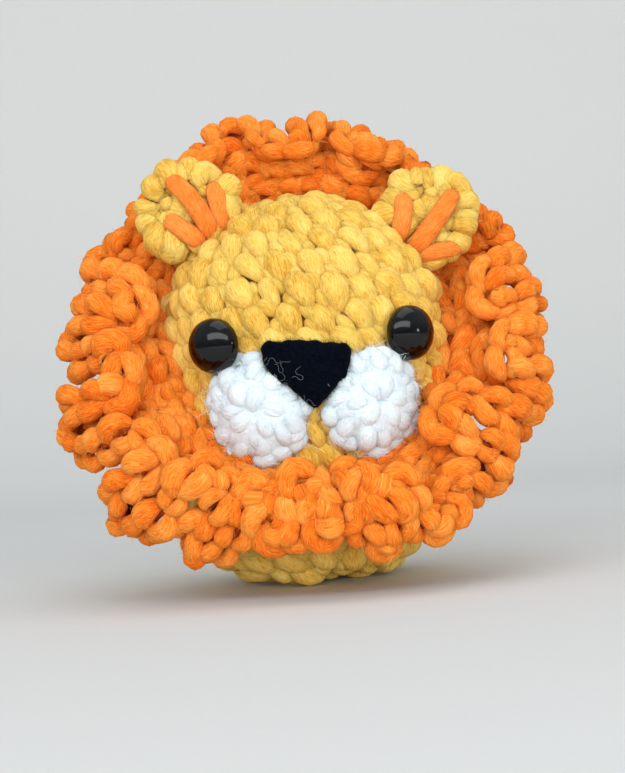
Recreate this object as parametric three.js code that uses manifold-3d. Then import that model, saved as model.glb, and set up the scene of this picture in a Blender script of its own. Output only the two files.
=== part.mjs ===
// A small crocheted lion plush: a stuffed egg-shaped body that is head and body in one, a ruffled
// mane round the face, two sewn-on ears with embroidered stripes, two safety eyes held by washers
// inside, a felt nose and two crocheted muzzle pads.
// Millimetres, +Z up. The origin is the middle of the flat base, and the face looks along -Y.

import * as THREE from 'three';
import { mergeVertices } from 'three/addons/utils/BufferGeometryUtils.js';
import Module from 'manifold-3d';

const wasm = await Module();
wasm.setup();

// ---------------------------------------------------------------- driving dimensions

const GAP = 0.3; // clearance left between pieces that touch

const BODY_HEIGHT = 78;
const BODY_RADIUS = 30; // the crown is a half ball of this radius
const TAPER_HEIGHT = 30; // below this height the body draws in towards its base
const BASE_RADIUS = 11; // flat disc that the lion stands on
const FABRIC = 4; // thickness of the crocheted body wall
const KNOT_RADIUS = 4.5; // last round, drawn shut and fastened off
const KNOT_DEPTH = 3.5;
const STUFFING_CLEARANCE = 0.5;

const EYE_RADIUS = 5.25;
const EYE_DOME = 4.6;
const EYE_RIM = 1.2;
const SHANK_RADIUS = 1.9;
const SHANK_LENGTH = 9;
const WASHER_RADIUS = 5.5;
const WASHER_THICKNESS = 1.5;
const SHANK_CLEARANCE = 0.3;
const EYE_AZIMUTH = 36.5; // degrees to each side of straight ahead
const EYE_HEIGHT = 47.4;

const NOSE_WIDTH = 18;
const NOSE_HEIGHT = 12.6;
const NOSE_TOP = 46.4;
const NOSE_X = -1.4; // sewn on a little to one side
const NOSE_CORNER = 2.2;
const NOSE_THICKNESS = 2.5;

const PAD_WIDTH = 19.4;
const PAD_TALL = 19.6;
const PAD_DEPTH = 4.8;
const PAD_AZIMUTH = { left: 22, right: 20.5 };
const PAD_HEIGHT = 35.2;

const EAR_WIDTH = 20.4;
const EAR_LENGTH = 21.8; // of the whole disc, whose lower part is cut away round the crown
const EAR_THICKNESS = 5;
const EAR_REACH = 3.8; // from the hinge line in the ear's foot out to the middle of the disc
const EAR_Y = -7.4; // the ears stand just in front of the mane
const EAR_BASE_ANGLE = { left: 130, right: 40 }; // place on the crown, seen from the front
const EAR_LEAN = { left: 123, right: 51 }; // direction that the ear points in, seen from the front
const EAR_LIFT = 1; // hinge line above the crown
const EAR_BEND = [-10, 35]; // degrees that an ear can bend backwards and forwards
const STITCH_RADIUS = 1.5;
const STITCH_LENGTHS = [7, 10.4, 7];
const STITCH_STARTS = [10.6, 9.6, 10.6]; // distances from the point that the stripes fan out from
const STITCH_FAN = 20; // degrees between neighbouring stripes
const FAN_ORIGIN = [1.5, -8]; // that point, across the ear and along it from its foot

const RING_CHIN = 20.5; // height of the mane's first round under the chin
const RING_BACKSET = 6; // how far behind the crown's middle that round crosses it
const BAND_DEPTH = 4.6;
const BAND_WIDTH = 5.6;
const FRILL_THICKNESS = 3.4;
const RUFFLES = 15;
const RUFFLE_SWING = 5; // how far the outer edge swings to each side

const YELLOW = new THREE.Color(0.922, 0.651, 0.156);
const ORANGE = new THREE.Color(0.87, 0.25, 0.045);
const WHITE = new THREE.Color(0.78, 0.87, 0.92);
const BLACK = new THREE.Color(0.004, 0.004, 0.006);
const FIBREFILL = new THREE.Color(0.9, 0.9, 0.88);
const NYLON = new THREE.Color(0.75, 0.75, 0.72);

const yarn = (color) => new THREE.MeshStandardMaterial({ color, roughness: 0.9, metalness: 0 });
const plastic = (color) => new THREE.MeshStandardMaterial({ color, roughness: 0.15, metalness: 0 });

// ---------------------------------------------------------------- solids and meshes

const radians = THREE.MathUtils.degToRad;

// A closed manifold-3d solid from a three.js geometry, whichever way its faces were wound.
function toSolid(geometry) {
  const bare = geometry.clone();
  bare.deleteAttribute('normal');
  bare.deleteAttribute('uv');
  const merged = mergeVertices(bare, 1e-4);
  const position = merged.attributes.position;
  const corners = [0, 1, 2].map(() => new THREE.Vector3());
  const triangles = [];
  let volume = 0;
  for (let i = 0; i < merged.index.count; i += 3) {
    const ids = [0, 1, 2].map((k) => merged.index.getX(i + k));
    if (ids[0] === ids[1] || ids[1] === ids[2] || ids[2] === ids[0]) continue;
    ids.forEach((id, k) => corners[k].fromBufferAttribute(position, id));
    volume += corners[0].dot(corners[1].clone().cross(corners[2]));
    triangles.push(ids);
  }
  const outward = triangles.map((ids) => (volume < 0 ? [ids[0], ids[2], ids[1]] : ids));
  return new wasm.Manifold(new wasm.Mesh({
    numProp: 3,
    vertProperties: new Float32Array(position.array),
    triVerts: new Uint32Array(outward.flat()),
  }));
}

function toGeometry(solid) {
  const mesh = solid.getMesh();
  const geometry = new THREE.BufferGeometry();
  geometry.setAttribute('position', new THREE.BufferAttribute(new Float32Array(mesh.vertProperties), 3));
  geometry.setIndex(new THREE.BufferAttribute(new Uint32Array(mesh.triVerts), 1));
  geometry.computeVertexNormals();
  return geometry;
}

const lion = new THREE.Group();

function addPiece(name, solid, material) {
  const mesh = new THREE.Mesh(toGeometry(solid), material);
  mesh.name = name;
  lion.add(mesh);
}

// A turned solid: the profile is a list of [radius, height], turned about Z.
function turned(profile, segments) {
  const points = profile.map(([radius, height]) => new THREE.Vector2(radius, height));
  return new THREE.LatheGeometry(points, segments).rotateX(Math.PI / 2);
}

// Turns +Z into a level direction at this azimuth from straight ahead, and moves it out from Z.
function faceOutwards(geometry, azimuth, height, distance) {
  return geometry
    .translate(0, 0, distance)
    .rotateX(Math.PI / 2)
    .rotateZ(radians(azimuth))
    .translate(0, 0, height);
}

// ---------------------------------------------------------------- body

const SHOULDER = BODY_HEIGHT - BODY_RADIUS;

function bodyRadius(z) {
  if (z > SHOULDER) return Math.sqrt(Math.max(0, BODY_RADIUS ** 2 - (z - SHOULDER) ** 2));
  if (z > TAPER_HEIGHT) return BODY_RADIUS;
  const drop = (TAPER_HEIGHT - z) / TAPER_HEIGHT;
  return BASE_RADIUS + (BODY_RADIUS - BASE_RADIUS) * Math.sqrt(Math.max(0, 1 - drop * drop));
}

// The body's outline from the edge of its base up to the crown, moved inwards by inset.
function eggProfile(inset, steps = 9) {
  const profile = [];
  for (let i = 0; i <= steps; i += 1) {
    const a = (i / steps) * (Math.PI / 2);
    profile.push([
      BASE_RADIUS + (BODY_RADIUS - BASE_RADIUS - inset) * Math.sin(a),
      TAPER_HEIGHT - (TAPER_HEIGHT - inset) * Math.cos(a),
    ]);
  }
  for (let i = 0; i <= steps; i += 1) {
    const a = (i / steps) * (Math.PI / 2);
    const radius = i === steps ? 0 : (BODY_RADIUS - inset) * Math.cos(a);
    profile.push([radius, SHOULDER + (BODY_RADIUS - inset) * Math.sin(a)]);
  }
  return profile;
}

const BODY_SEGMENTS = 40;

function closedEgg(inset) {
  return toSolid(turned([[0, inset], ...eggProfile(inset)], BODY_SEGMENTS));
}

function cylinderAlongEye(radius, from, to, side) {
  const rod = new THREE.CylinderGeometry(radius, radius, to - from, 24).rotateX(Math.PI / 2);
  return toSolid(faceOutwards(rod, side * EYE_AZIMUTH, EYE_HEIGHT, (from + to) / 2));
}

const SHANK_TIP = BODY_RADIUS + GAP - SHANK_LENGTH;

function bodyShell() {
  const hole = KNOT_RADIUS + GAP;
  const profile = [...eggProfile(FABRIC).reverse(), [hole, FABRIC], [hole, 0], ...eggProfile(0)];
  let shell = toSolid(turned(profile, BODY_SEGMENTS));
  for (const side of [-1, 1]) {
    const reach = BODY_RADIUS + FABRIC;
    shell = shell.subtract(cylinderAlongEye(SHANK_RADIUS + SHANK_CLEARANCE, SHANK_TIP, reach, side));
  }
  return shell;
}

function stuffing() {
  let core = closedEgg(FABRIC + STUFFING_CLEARANCE);
  for (const side of [-1, 1]) {
    const pocket = cylinderAlongEye(WASHER_RADIUS + 1, SHANK_TIP - 1, BODY_RADIUS, side);
    core = core.subtract(pocket);
  }
  return core;
}

function closingKnot() {
  return toSolid(turned([
    [0, 0],
    [KNOT_RADIUS, 0],
    [KNOT_RADIUS, KNOT_DEPTH - 1],
    [KNOT_RADIUS - 1, KNOT_DEPTH],
    [0, KNOT_DEPTH],
  ], 24));
}

addPiece('body_shell', bodyShell(), yarn(YELLOW));
addPiece('stuffing', stuffing(), yarn(FIBREFILL));
addPiece('closing_knot', closingKnot(), yarn(YELLOW));

// ---------------------------------------------------------------- safety eyes and washers

function eye(side) {
  const profile = [[0, -SHANK_LENGTH], [SHANK_RADIUS - 0.6, -SHANK_LENGTH]];
  profile.push([SHANK_RADIUS, 0.8 - SHANK_LENGTH], [SHANK_RADIUS, 0]);
  profile.push([EYE_RADIUS - 0.3, 0], [EYE_RADIUS, EYE_RIM]);
  const steps = 7;
  for (let i = 1; i <= steps; i += 1) {
    const a = (i / steps) * (Math.PI / 2);
    const radius = i === steps ? 0 : EYE_RADIUS * Math.cos(a);
    profile.push([radius, EYE_RIM + (EYE_DOME - EYE_RIM) * Math.sin(a)]);
  }
  const geometry = turned(profile, 24);
  return toSolid(faceOutwards(geometry, side * EYE_AZIMUTH, EYE_HEIGHT, BODY_RADIUS + GAP));
}

function washer(side) {
  const inner = SHANK_RADIUS + SHANK_CLEARANCE;
  // Its flat face lies under the curved inside of the fabric.
  const seat = Math.sqrt((BODY_RADIUS - FABRIC) ** 2 - WASHER_RADIUS ** 2) - GAP;
  const ring = turned([
    [inner, -WASHER_THICKNESS],
    [WASHER_RADIUS, -WASHER_THICKNESS],
    [WASHER_RADIUS, 0],
    [inner, 0],
    [inner, -WASHER_THICKNESS],
  ], 24);
  return toSolid(faceOutwards(ring, side * EYE_AZIMUTH, EYE_HEIGHT, seat));
}

const SIDES = { left: -1, right: 1 };

for (const [name, side] of Object.entries(SIDES)) {
  addPiece(`eye_${name}`, eye(side), plastic(BLACK));
  addPiece(`eye_washer_${name}`, washer(side), plastic(NYLON));
}

// ---------------------------------------------------------------- ears and their stripes

// Places something drawn with X along the ear's foot, Y out along the ear and Z to its front. Its
// origin is on the hinge line, and the line is its X.
function earPlacement(name) {
  const angle = radians(EAR_BASE_ANGLE[name]);
  const reach = Math.sqrt(BODY_RADIUS ** 2 - EAR_Y ** 2) + EAR_LIFT;
  const turn = radians(EAR_LEAN[name] - 90);
  const upright = new THREE.Matrix4().makeRotationX(Math.PI / 2);
  const leaned = new THREE.Matrix4().makeRotationY(-turn).multiply(upright);
  return leaned.setPosition(reach * Math.cos(angle), EAR_Y, SHOULDER + reach * Math.sin(angle));
}

// A flattened disc, cut away so that it clears the crown however far it bends.
function ear(name) {
  const bevel = 0.8;
  const outline = new THREE.Shape();
  outline.absellipse(0, EAR_REACH, EAR_WIDTH / 2, EAR_LENGTH / 2, 0, 2 * Math.PI, false, 0);
  const plate = new THREE.ExtrudeGeometry(outline, {
    depth: EAR_THICKNESS - 2 * bevel,
    bevelThickness: bevel,
    bevelSize: bevel,
    bevelOffset: -bevel,
    bevelSegments: 1,
    curveSegments: 18,
  }).translate(0, 0, bevel - EAR_THICKNESS / 2);
  const placement = earPlacement(name);
  const crown = closedEgg(-GAP).transform(placement.clone().invert().elements);
  let solid = toSolid(plate);
  const steps = 3;
  for (let i = 0; i <= steps; i += 1) {
    const bend = THREE.MathUtils.lerp(...EAR_BEND, i / steps);
    solid = solid.subtract(crown.rotate([-bend, 0, 0]));
  }
  return solid.transform(placement.elements);
}

// The stripes fan out from the ear's foot, each a straight strand lying on the ear's front.
function earStitch(name, index) {
  const lean = radians((index - 1) * STITCH_FAN);
  const length = STITCH_LENGTHS[index];
  const rod = new THREE.CapsuleGeometry(STITCH_RADIUS, length - 2 * STITCH_RADIUS, 3, 10);
  rod.translate(0, STITCH_STARTS[index] + length / 2, 0).rotateZ(-lean);
  rod.translate(...FAN_ORIGIN, EAR_THICKNESS / 2 + STITCH_RADIUS + GAP);
  return toSolid(rod).transform(earPlacement(name).elements);
}

for (const name of Object.keys(SIDES)) {
  addPiece(`ear_${name}`, ear(name), yarn(YELLOW));
  for (const index of [0, 1, 2]) {
    addPiece(`ear_stitch_${name}_${index + 1}`, earStitch(name, index), yarn(ORANGE));
  }
}

// ---------------------------------------------------------------- mane

const RING_TOP = SHOULDER + Math.sqrt(BODY_RADIUS ** 2 - RING_BACKSET ** 2);

// The mane's first round lies on the body: over the crown, down both sides and under the chin.
// The angle is measured from +X as seen from the front; drop runs from 0 at the crown to 1 there.
const dropAt = (angle) => (1 - Math.sin(angle)) / 2;

function ringPoint(angle) {
  const z = THREE.MathUtils.lerp(RING_TOP, RING_CHIN, dropAt(angle));
  const radius = bodyRadius(z);
  const y = RING_BACKSET * (1 - dropAt(angle)) ** 2 - radius * dropAt(angle) ** 1.6;
  const x = Math.sign(Math.cos(angle)) * Math.sqrt(Math.max(0, radius ** 2 - y ** 2));
  return new THREE.Vector3(x, y, z);
}

function bodyNormal(point) {
  const step = 0.05;
  const slope = (bodyRadius(point.z + step) - bodyRadius(point.z - step)) / (2 * step);
  const radius = Math.max(Math.hypot(point.x, point.y), 0.1);
  return new THREE.Vector3(point.x / radius, point.y / radius, -slope).normalize();
}

// Frame on the ring: where it is, along the ring, out of the body, and the way the frill stands.
function ringFrame(angle) {
  const step = 0.02;
  const point = ringPoint(angle);
  const tangent = ringPoint(angle + step).sub(ringPoint(angle - step)).normalize();
  const normal = bodyNormal(point);
  const forward = dropAt(angle) ** 1.5 - 0.3;
  const frill = new THREE.Vector3(Math.cos(angle), -forward, Math.sin(angle)).normalize();
  return { point, tangent, normal, frill };
}

function frillLength(angle) {
  return 12.5 + 0.5 * dropAt(angle) + 3 * Math.cos(angle) ** 2;
}

// A closed ring whose section is placed point by point: a torus with its points moved.
function closedRing(stations, sides, place) {
  const torus = new THREE.TorusGeometry(2, 1, sides, stations);
  const position = torus.attributes.position;
  const row = stations + 1;
  for (let i = 0; i < position.count; i += 1) {
    const around = ((i % row) % stations) * ((2 * Math.PI) / stations);
    const section = (Math.floor(i / row) % sides) * ((2 * Math.PI) / sides);
    const placed = place(around, section);
    position.setXYZ(i, placed.x, placed.y, placed.z);
  }
  return toSolid(torus);
}

// The thick first round, grown by margin.
function band(margin) {
  return closedRing(60, 8, (angle, section) => {
    const { point, tangent, normal } = ringFrame(angle);
    const across = tangent.clone().cross(normal).normalize();
    return point
      .addScaledVector(normal, GAP + BAND_DEPTH / 2 + (BAND_DEPTH / 2 + margin) * Math.cos(section))
      .addScaledVector(across, (BAND_WIDTH / 2 + margin) * Math.sin(section));
  });
}

function frillPoint(angle, section) {
  const { point, tangent, normal, frill } = ringFrame(angle);
  const side = tangent.clone().cross(frill).normalize();
  const reach = (1 - Math.cos(section)) / 2;
  const swing = RUFFLE_SWING * reach * Math.sin(RUFFLES * angle);
  const slope = (RUFFLES * RUFFLE_SWING * reach * Math.cos(RUFFLES * angle)) / (BODY_RADIUS + 15 * reach);
  const sheetNormal = side.clone().addScaledVector(tangent, -slope).normalize();
  return point
    .addScaledVector(normal, BAND_DEPTH + 3 * GAP)
    .addScaledVector(frill, frillLength(angle) * reach)
    .addScaledVector(side, swing)
    .addScaledVector(sheetNormal, (FRILL_THICKNESS / 2) * Math.sin(section));
}

addPiece('mane_band', band(0), yarn(ORANGE));
addPiece('mane_frill', closedRing(RUFFLES * 14, 8, frillPoint), yarn(ORANGE));

// ---------------------------------------------------------------- nose and muzzle pads

// A triangle with round corners, point down, drawn in X and Y and grown by margin.
function noseOutline(margin) {
  const half = NOSE_WIDTH / 2 + margin;
  const tip = -NOSE_HEIGHT - margin;
  const slope = Math.atan2(-tip, half);
  const corner = NOSE_CORNER + margin;
  const along = new THREE.Vector2(Math.cos(slope), Math.sin(slope)).multiplyScalar(corner);
  const shape = new THREE.Shape();
  shape.moveTo(-half + corner, margin);
  shape.lineTo(half - corner, margin);
  shape.quadraticCurveTo(half, margin, half - along.x, margin - along.y);
  shape.lineTo(along.x, tip + along.y);
  shape.quadraticCurveTo(0, tip, -along.x, tip + along.y);
  shape.lineTo(-half + along.x, margin - along.y);
  shape.quadraticCurveTo(-half, margin, -half + corner, margin);
  return shape;
}

// The nose outline pushed through the front of the face.
function nosePrism(margin) {
  const settings = { depth: BODY_RADIUS, bevelEnabled: false, curveSegments: 5 };
  const prism = new THREE.ExtrudeGeometry(noseOutline(margin), settings);
  return toSolid(prism.rotateX(Math.PI / 2).translate(NOSE_X, -BODY_RADIUS / 2, NOSE_TOP));
}

const bodyWithGap = closedEgg(-GAP);

function nose() {
  return nosePrism(0).intersect(closedEgg(-GAP - NOSE_THICKNESS)).subtract(bodyWithGap);
}

// A flattened dome, cut away round everything that it is sewn up against.
function muzzlePad(name) {
  const side = SIDES[name];
  const dome = new THREE.SphereGeometry(1, 24, 16).scale(PAD_WIDTH / 2, PAD_TALL / 2, PAD_DEPTH);
  const placed = faceOutwards(dome, side * PAD_AZIMUTH[name], PAD_HEIGHT, BODY_RADIUS);
  const eyeRoom = cylinderAlongEye(EYE_RADIUS + GAP, BODY_RADIUS / 2, BODY_RADIUS + PAD_DEPTH, side);
  const cuts = [bodyWithGap, nosePrism(GAP), band(GAP), eyeRoom];
  return cuts.reduce((pad, cut) => pad.subtract(cut), toSolid(placed));
}

addPiece('nose_felt', nose(), yarn(BLACK));
for (const name of Object.keys(SIDES)) {
  addPiece(`muzzle_pad_${name}`, muzzlePad(name), yarn(WHITE));
}

export default lion;
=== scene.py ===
"""The looks of a small crocheted lion plush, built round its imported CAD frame.

Every strand of yarn is a swept mesh. The helpers work in millimetres in the row frame, and a
mesh is turned into metres when it is made. The face looks along -Y.
"""

import math

import bpy
import numpy as np
from mathutils import Matrix, Vector


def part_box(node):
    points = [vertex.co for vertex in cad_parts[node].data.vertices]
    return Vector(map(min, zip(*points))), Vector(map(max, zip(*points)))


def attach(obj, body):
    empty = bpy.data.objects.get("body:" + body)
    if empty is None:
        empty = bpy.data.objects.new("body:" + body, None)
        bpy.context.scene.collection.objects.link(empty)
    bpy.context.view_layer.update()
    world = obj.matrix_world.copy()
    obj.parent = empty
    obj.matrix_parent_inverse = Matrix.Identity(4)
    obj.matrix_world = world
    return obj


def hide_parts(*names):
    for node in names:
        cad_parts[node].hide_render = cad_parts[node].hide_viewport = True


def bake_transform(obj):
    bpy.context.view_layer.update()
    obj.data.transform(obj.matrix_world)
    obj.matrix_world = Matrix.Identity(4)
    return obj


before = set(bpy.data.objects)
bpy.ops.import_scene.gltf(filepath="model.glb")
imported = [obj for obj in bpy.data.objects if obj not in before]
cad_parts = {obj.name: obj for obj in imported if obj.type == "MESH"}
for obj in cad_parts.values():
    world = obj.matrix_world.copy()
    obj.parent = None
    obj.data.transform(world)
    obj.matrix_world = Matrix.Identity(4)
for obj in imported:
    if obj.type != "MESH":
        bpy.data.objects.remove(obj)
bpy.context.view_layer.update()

MM = 0.001
TAU = 2 * math.pi


def box_mm(node):
    low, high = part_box(node)
    return np.array(low) / MM, np.array(high) / MM


# ---- driving dimensions, mm

BODY_HIGH = box_mm("body_shell")[1]
BODY_RADIUS = BODY_HIGH[0]
TAPER_HEIGHT = 30.0
BASE_RADIUS = 11.0
SHOULDER = BODY_HIGH[2] - BODY_RADIUS  # the height of the middle of the round crown

STITCH_PITCH = 6.0
ROUND_HEIGHT = 5.5
YARN_RADIUS = 1.8
FIBRE_RADIUS = 0.042
YARN_BULGE = 2.9  # how far the yarn stands out of the surface that its stitches are drawn on

EYE_AZIMUTH = math.radians(36.5)
EYE_HEIGHT = 47.4
EYE_RADIUS = 5.25
EYE_DOME = 3.6
EYE_RIM = 1.0
SHANK_RADIUS = 1.9
SHANK_LENGTH = 9.0

NOSE_LOW, NOSE_HIGH = box_mm("nose_felt")
NOSE_X = (NOSE_LOW[0] + NOSE_HIGH[0]) / 2
NOSE_UP = NOSE_HIGH[2] + 0.3
NOSE_DOWN = NOSE_LOW[2] - 0.7
NOSE_HALF = 8.9

PAD_AZIMUTH = {"left": math.radians(-22), "right": math.radians(20.5)}
PAD_HEIGHT = 35.2
PAD_RADIUS = 9.7
PAD_DEPTH = 4.6
PAD_SINK = 1.6  # how deep the pads' edges lie in the body's yarn

EAR_Y = -7.4
EAR_LIFT = 1.0
EAR_REACH = 3.8  # from the ear's foot to the middle of its disc
EAR_HALF_WIDTH = 10.4
EAR_HALF_LENGTH = 10.9
EAR_BASE_ANGLE = {"left": math.radians(130), "right": math.radians(40)}
EAR_LEAN = {"left": math.radians(123), "right": math.radians(51)}

RING_CHIN = 20.5  # the height at which the mane's first round passes under the face
RING_BACKSET = 6.0  # how far behind the crown's middle it passes over the head


# ---- curves and frames


def unit(v):
    v = np.asarray(v, float)
    return v / np.maximum(np.linalg.norm(v, axis=-1, keepdims=True), 1e-9)


def through(points, t):
    """A smooth curve through the points, at t from 0 to their count less one."""
    points = np.asarray(points, float)
    i = np.clip(np.floor(t).astype(int), 0, len(points) - 2)
    f = (t - i)[:, None]
    first, last = 2 * points[:1] - points[1:2], 2 * points[-1:] - points[-2:-1]
    ext = np.vstack([first, points, last])
    a, b, c, d = ext[i], ext[i + 1], ext[i + 2], ext[i + 3]
    square, cube = 2 * a - 5 * b + 4 * c - d, 3 * b - a - 3 * c + d
    return 0.5 * (2 * b + (c - a) * f + square * f**2 + cube * f**3)


def run_along(points):
    """The distance run along the points to each of them."""
    return np.concatenate([[0], np.cumsum(np.linalg.norm(np.diff(points, axis=0), axis=1))])


def read_at(at, run, values):
    """Rows of values given along a run, read at other distances."""
    return np.stack([np.interp(at, run, column) for column in values.T], -1)


def wobble(t, seed, waves=(2, 3, 5, 7)):
    """A smooth random curve that repeats each turn, about -1 to 1."""
    rng = np.random.default_rng(seed)
    total = sum(rng.normal() * np.sin(w * np.asarray(t) + rng.uniform(0, TAU)) for w in waves)
    return total / len(waves) ** 0.5


# ---- strands of yarn


def band_quads(index):
    """The quads between each ring of vertices and the next, from the rings' vertex numbers."""
    right = np.roll(index, -1, axis=1)
    return np.stack([index[:-1], index[1:], right[1:], right[:-1]], -1).reshape(-1, 4)


class Strands:
    """Swept strands of yarn, gathered into one mesh.

    The UV map runs along each strand in millimetres, so that a material can lay fibres along it,
    and each strand has a tint from 0 to 1 of its own.
    """

    def __init__(self, seed):
        self.rng = np.random.default_rng(seed)
        self.vertices, self.quads, self.caps = [], [], []
        self.quad_uvs, self.cap_uvs, self.tints = [], [], []
        self.skin = []
        self.count = 0

    def add(self, points, ups, radii, steps=12, sides=10, flat=0.85):
        """Sweep one strand with round ends along the points; flat squeezes it along the ups."""
        t = (0.5 - 0.5 * np.cos(np.linspace(0, math.pi, steps + 1))) * (len(points) - 1)
        centre = through(points, t)
        up = through(np.broadcast_to(ups, np.shape(points)), t)
        radius = through(np.asarray(radii, float)[:, None], t)[:, 0]
        along = np.gradient(centre, axis=0)
        length = run_along(centre)
        to_end = np.minimum(length, length[-1] - length)
        rounding = np.sqrt(1 - (1 - np.clip(to_end / radius, 0, 1)) ** 2)
        radius = radius * np.maximum(rounding, 0.03)
        along = unit(along)
        side = unit(np.cross(along, up))
        top = np.cross(side, along)
        angle = np.arange(sides) * TAU / sides
        sine, cosine = np.sin(angle)[None, :, None], np.cos(angle)[None, :, None]
        around = side[:, None] * sine - flat * top[:, None] * cosine
        rings = centre[:, None] + around * radius[:, None, None]
        outer = slice(sides // 4, sides - sides // 4 + 1)
        lengthwise = np.broadcast_to(along[:, None], rings.shape)
        skin = np.concatenate([rings, around, lengthwise], -1)[2:-2, outer]
        self.skin.append(skin.reshape(-1, 9))
        index = self.count + np.arange((steps + 1) * sides).reshape(steps + 1, sides)
        self.vertices.append(rings.reshape(-1, 3))
        self.quads.append(band_quads(index))
        self.caps.append(np.stack([index[0], index[-1][::-1]]))
        tint = self.rng.uniform()
        across = np.arange(sides + 1) * (TAU * YARN_RADIUS / sides) + 20 * tint
        run = length + self.rng.uniform(0, 50)
        grid = np.stack(np.broadcast_arrays(across[None, :], run[:, None]), -1)
        uv = np.stack([grid[:-1, :-1], grid[1:, :-1], grid[1:, 1:], grid[:-1, 1:]], -2)
        self.quad_uvs.append(uv.reshape(-1, 2))
        self.cap_uvs.append(np.concatenate([grid[0, :-1], grid[-1, :-1]]))
        self.tints.append(np.full(index.size, tint))
        self.count += index.size

    def surface(self):
        """The outer points of all strands, with their outward and lengthwise directions."""
        return np.concatenate(self.skin)

    def mesh(self, name, floor=None):
        vertices = np.concatenate(self.vertices)
        if floor is not None:
            vertices[:, 2] = np.maximum(vertices[:, 2], floor)
        quads, caps = np.concatenate(self.quads), np.concatenate(self.caps)
        loops = np.concatenate([quads.ravel(), caps.ravel()])
        totals = np.concatenate([np.full(len(quads), 4), np.full(len(caps), caps.shape[1])])
        uvs = np.concatenate([*self.quad_uvs, *self.cap_uvs])
        return build_mesh(name, vertices, loops, totals, uvs, np.concatenate(self.tints))


def fuzz(name, skin, rng, share, length, lean=(0.25, 1.0), thick=1.0):
    """Fine loose fibres, one at this share of the yarn's surface points and none near the floor.

    Lean is how far they stand up from the yarn, and each is a thin ribbon that tapers and curls.
    """
    skin = skin[(rng.uniform(size=len(skin)) < share) & (skin[:, 2] > 4 * length)]
    count = len(skin)
    base, normal, along = skin[:, :3], unit(skin[:, 3:6]), skin[:, 6:]
    side = np.cross(normal, along)
    lean = rng.uniform(*lean, (count, 1))
    along_share = rng.normal(size=(count, 1))
    side_share = 0.6 * rng.normal(size=(count, 1))
    direction = unit(lean * normal + along_share * along + side_share * side)
    curl = 0.5 * unit(rng.normal(size=(count, 3)))
    size = length * rng.lognormal(0, 0.4, (count, 1))
    t = np.linspace(0, 1, 4)[None, :, None]
    base = base + rng.normal(size=(count, 3)) * 0.15 - 0.15 * normal
    centre = base[:, None] + size[:, None] * (direction[:, None] * t + curl[:, None] * t**2)
    taper = thick * FIBRE_RADIUS * (1 - 0.6 * t)
    across = unit(np.cross(direction, rng.normal(size=(count, 3))))[:, None] * taper
    vertices = np.stack([centre - across, centre + across], 2)
    index = np.arange(count * 8).reshape(count, 4, 2)
    below, above = index[:, :-1], index[:, 1:, ::-1]
    quads = np.concatenate([below, above], -1).reshape(-1, 4)
    return build_mesh(name, vertices.reshape(-1, 3), quads.ravel(), np.full(len(quads), 4))


def build_mesh(name, vertices, loops, totals, uvs=None, tints=None):
    """A smooth mesh object from arrays, with its vertices given in millimetres."""
    data = bpy.data.meshes.new(name)
    data.vertices.add(len(vertices))
    data.vertices.foreach_set("co", (vertices * MM).astype(np.float32).ravel())
    data.loops.add(len(loops))
    data.loops.foreach_set("vertex_index", loops.astype(np.int32))
    data.polygons.add(len(totals))
    starts = np.concatenate([[0], np.cumsum(totals)[:-1]])
    data.polygons.foreach_set("loop_start", starts.astype(np.int32))
    data.polygons.foreach_set("loop_total", totals.astype(np.int32))
    data.polygons.foreach_set("use_smooth", np.ones(len(totals), bool))
    data.update(calc_edges=True)
    if uvs is not None:
        layer = data.uv_layers.new(name="strand")
        layer.data.foreach_set("uv", uvs.astype(np.float32).ravel())
    if tints is not None:
        tint = data.attributes.new("tint", "FLOAT", "POINT")
        tint.data.foreach_set("value", tints.astype(np.float32))
    data.validate()
    piece = bpy.data.objects.new(name, data)
    bpy.context.scene.collection.objects.link(piece)
    return piece


def shell_mesh(name, first, rings, last):
    """A closed mesh from one end point through rings of as many points each to the other end."""
    rings = np.asarray(rings)
    segments = rings.shape[1]
    vertices = np.concatenate([[first], rings.reshape(-1, 3), [last]])
    index = 1 + np.arange(rings.shape[0] * segments).reshape(-1, segments)
    right = np.roll(index, -1, axis=1)
    top = np.stack([np.zeros(segments, int), index[0], right[0]], -1)
    quads = band_quads(index)
    bottom = np.stack([np.full(segments, len(vertices) - 1), right[-1], index[-1]], -1)
    loops = np.concatenate([top.ravel(), quads.ravel(), bottom.ravel()])
    totals = np.concatenate([np.full(segments, 3), np.full(len(quads), 4), np.full(segments, 3)])
    return build_mesh(name, vertices, loops, totals)


def turned_mesh(name, radius, height, segments):
    """A closed mesh turned about Z, from an outline that starts and ends on the axis."""
    ring = np.arange(segments) * TAU / segments
    radius, middle = radius[1:-1, None], height[1:-1, None]
    level = np.broadcast_to(middle, (len(middle), segments))
    rings = np.stack([radius * np.cos(ring), radius * np.sin(ring), level], -1)
    return shell_mesh(name, [0, 0, height[0]], rings, [0, 0, height[-1]])


def finish_piece(piece, material, follows, replaces=()):
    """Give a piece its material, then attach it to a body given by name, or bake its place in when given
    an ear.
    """
    piece.data.materials.append(material)
    if isinstance(follows, str):
        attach(piece, follows)
    else:
        follows.bend(piece)
    if replaces:
        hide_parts(*replaces)


def finish_yarn(strands, names, yarn, follows, fibres, replaces=(), floor=None):
    """Make the strands' mesh and its loose fibres; fibres are fuzz's share, length, lean and thick."""
    material, loose_material, slot = yarn
    piece = strands.mesh(names[0], floor)
    loose = fuzz(names[1], strands.surface(), strands.rng, *fibres)
    finish_piece(piece, material, follows, replaces)
    finish_piece(loose, loose_material, follows)


# ---- materials


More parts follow.
